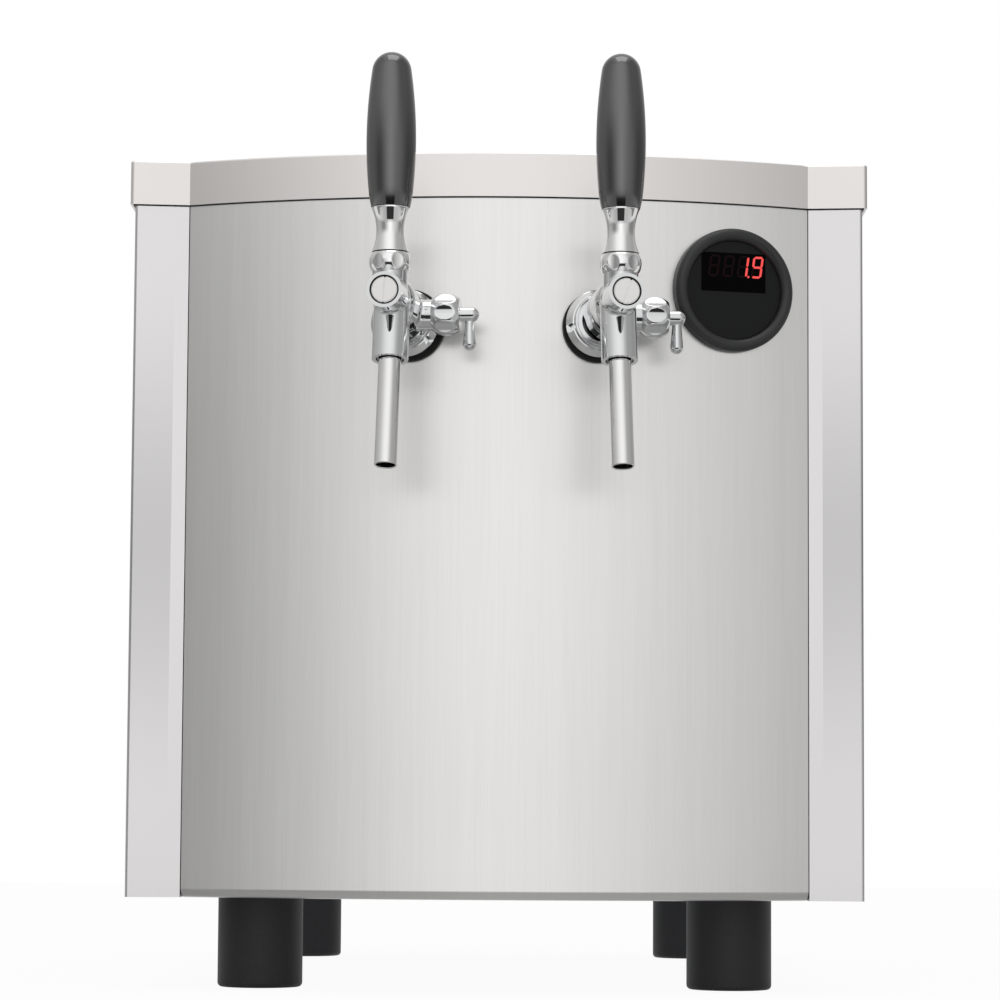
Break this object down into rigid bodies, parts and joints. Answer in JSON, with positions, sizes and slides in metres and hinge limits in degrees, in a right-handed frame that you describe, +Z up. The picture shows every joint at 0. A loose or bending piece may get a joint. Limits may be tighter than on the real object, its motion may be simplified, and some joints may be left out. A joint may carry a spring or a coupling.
{
  "type": "draft beer dispenser",
  "caption": "Counter-top draft beer cooler: steel cabinet with a bowed front, compensator taps with black handles, a round digital thermometer and black feet.",
  "frame": {"origin": "on the floor under the middle of the whole object's box", "axes": "+Z up, -Y out of the front with the taps, +X to the right seen from the front"},
  "size_m": [0.405, 0.6994, 0.4939],
  "materials": {
    "brushed_front": "upright brushed grain",
    "satin_steel": "fine satin",
    "zinc_steel": "zinc plated",
    "screw_steel": "plain steel",
    "foot_rubber": "matte black",
    "gasket_rubber": "matte black",
    "bezel_plastic": "satin black",
    "face_plastic": "smooth dark grey",
    "black_plastic": "moulded black",
    "display_red": "lit red segments",
    "chrome": "polished",
    "plug_plate": "satin nickel",
    "brass": "turned",
    "handle_black": "glossy black",
    "valve_plastic": "white plastic",
    "cast_aluminium": "as cast",
    "foam": "rigid foam",
    "compressor_black": "black paint",
    "motor_grey": "grey paint",
    "copper": "drawn copper tube",
    "line_plastic": "milky tube",
    "rocker_red": "red rocker"
  },
  "bodies": {
    "root": {"front_panel": "brushed_front", "left_side_panel": "satin_steel", "right_side_panel": "satin_steel", "rear_panel": "satin_steel", "lid": "satin_steel", "base_tray": "zinc_steel", "fan_bracket": "zinc_steel", "foot_bolts": "zinc_steel", "cabinet_screws": "screw_steel", "foot_front_left": "foot_rubber", "foot_front_right": "foot_rubber", "foot_rear_left": "foot_rubber", "foot_rear_right": "foot_rubber", "thermometer_bezel": "bezel_plastic", "thermometer_face": "face_plastic", "thermometer_case": "black_plastic", "thermometer_nut": "black_plastic", "mains_gland": "black_plastic", "power_switch_frame": "black_plastic", "display_digits": "display_red", "left_tap_gasket": "gasket_rubber", "left_tap_flange": "chrome", "left_tap_body": "chrome", "left_tap_collar_nut": "chrome", "left_tap_spout": "chrome", "left_compensator_bonnet": "chrome", "left_tap_front_plug": "plug_plate", "left_tap_back_nut": "brass", "right_tap_gasket": "gasket_rubber", "right_tap_flange": "chrome", "right_tap_body": "chrome", "right_tap_collar_nut": "chrome", "right_tap_spout": "chrome", "right_compensator_bonnet": "chrome", "right_tap_front_plug": "plug_plate", "right_tap_back_nut": "brass", "cold_block": "cast_aluminium", "insulation_box": "foam", "compressor": "compressor_black", "compressor_grommets": "gasket_rubber", "condenser": "cast_aluminium", "fan_motor": "motor_grey", "refrigerant_pipes": "copper", "beer_lines": "line_plastic", "wiring_loom": "black_plastic", "inlet_fittings": "chrome", "thermostat_body": "black_plastic"},
    "left_lever": {"left_tap_lever": "chrome", "left_tap_handle": "handle_black"},
    "left_plunger": {"left_tap_plunger": "valve_plastic"},
    "left_compensator": {"left_compensator_lever": "chrome"},
    "left_cone": {"left_compensator_cone": "valve_plastic"},
    "right_lever": {"right_tap_lever": "chrome", "right_tap_handle": "handle_black"},
    "right_plunger": {"right_tap_plunger": "valve_plastic"},
    "right_compensator": {"right_compensator_lever": "chrome"},
    "right_cone": {"right_compensator_cone": "valve_plastic"},
    "fan": {"fan_blades": "black_plastic"},
    "rocker": {"power_switch_rocker": "rocker_red"},
    "knob": {"thermostat_knob": "black_plastic"}
  },
  "joints": [
    {"name": "left_lever_turn", "type": "hinge", "parent": "root", "child": "left_lever", "pos_m": [-0.05621, -0.32778, 0.3791], "axis": [0.9938, -0.1109, 0], "range_deg": [0, 25]},
    {"name": "left_plunger_slide", "type": "slide", "parent": "root", "child": "left_plunger", "axis": [0.1109, 0.9938, 0], "range_m": [0, 0.00593]},
    {"name": "left_compensator_turn", "type": "hinge", "parent": "root", "child": "left_compensator", "pos_m": [-0.02185, -0.29036, 0.3605], "axis": [0.9938, -0.1109, 0], "range_deg": [-80, 80]},
    {"name": "left_cone_slide", "type": "slide", "parent": "root", "child": "left_cone", "axis": [-0.1109, -0.9938, 0], "range_m": [-0.00247, 0.00247]},
    {"name": "right_lever_turn", "type": "hinge", "parent": "root", "child": "right_lever", "pos_m": [0.06424, -0.32682, 0.3791], "axis": [0.9919, 0.1267, 0], "range_deg": [0, 25]},
    {"name": "right_plunger_slide", "type": "slide", "parent": "root", "child": "right_plunger", "axis": [-0.1267, 0.9919, 0], "range_m": [0, 0.00593]},
    {"name": "right_compensator_turn", "type": "hinge", "parent": "root", "child": "right_compensator", "pos_m": [0.0888, -0.28235, 0.3605], "axis": [0.9919, 0.1267, 0], "range_deg": [-80, 80]},
    {"name": "right_cone_slide", "type": "slide", "parent": "root", "child": "right_cone", "axis": [0.1267, -0.9919, 0], "range_m": [-0.00247, 0.00247]},
    {"name": "fan_spin", "type": "hinge", "parent": "root", "child": "fan", "pos_m": [0.1, 0.23469, 0.148], "axis": [0, 1, 0], "continuous": true},
    {"name": "rocker_tilt", "type": "hinge", "parent": "root", "child": "rocker", "pos_m": [0.15, 0.31969, 0.31], "axis": [-1, 0, 0], "range_deg": [0, 20]},
    {"name": "knob_turn", "type": "hinge", "parent": "root", "child": "knob", "pos_m": [0.1, 0.33269, 0.31], "axis": [0, 1, 0], "range_deg": [-135, 135]}
  ],
  "couplings": [
    {"joint": "left_plunger_slide", "follows": "left_lever_turn", "m_per_rad": 0.01356},
    {"joint": "left_cone_slide", "follows": "left_compensator_turn", "m_per_rad": 0.0017633},
    {"joint": "right_plunger_slide", "follows": "right_lever_turn", "m_per_rad": 0.01356},
    {"joint": "right_cone_slide", "follows": "right_compensator_turn", "m_per_rad": 0.0017633}
  ]
}
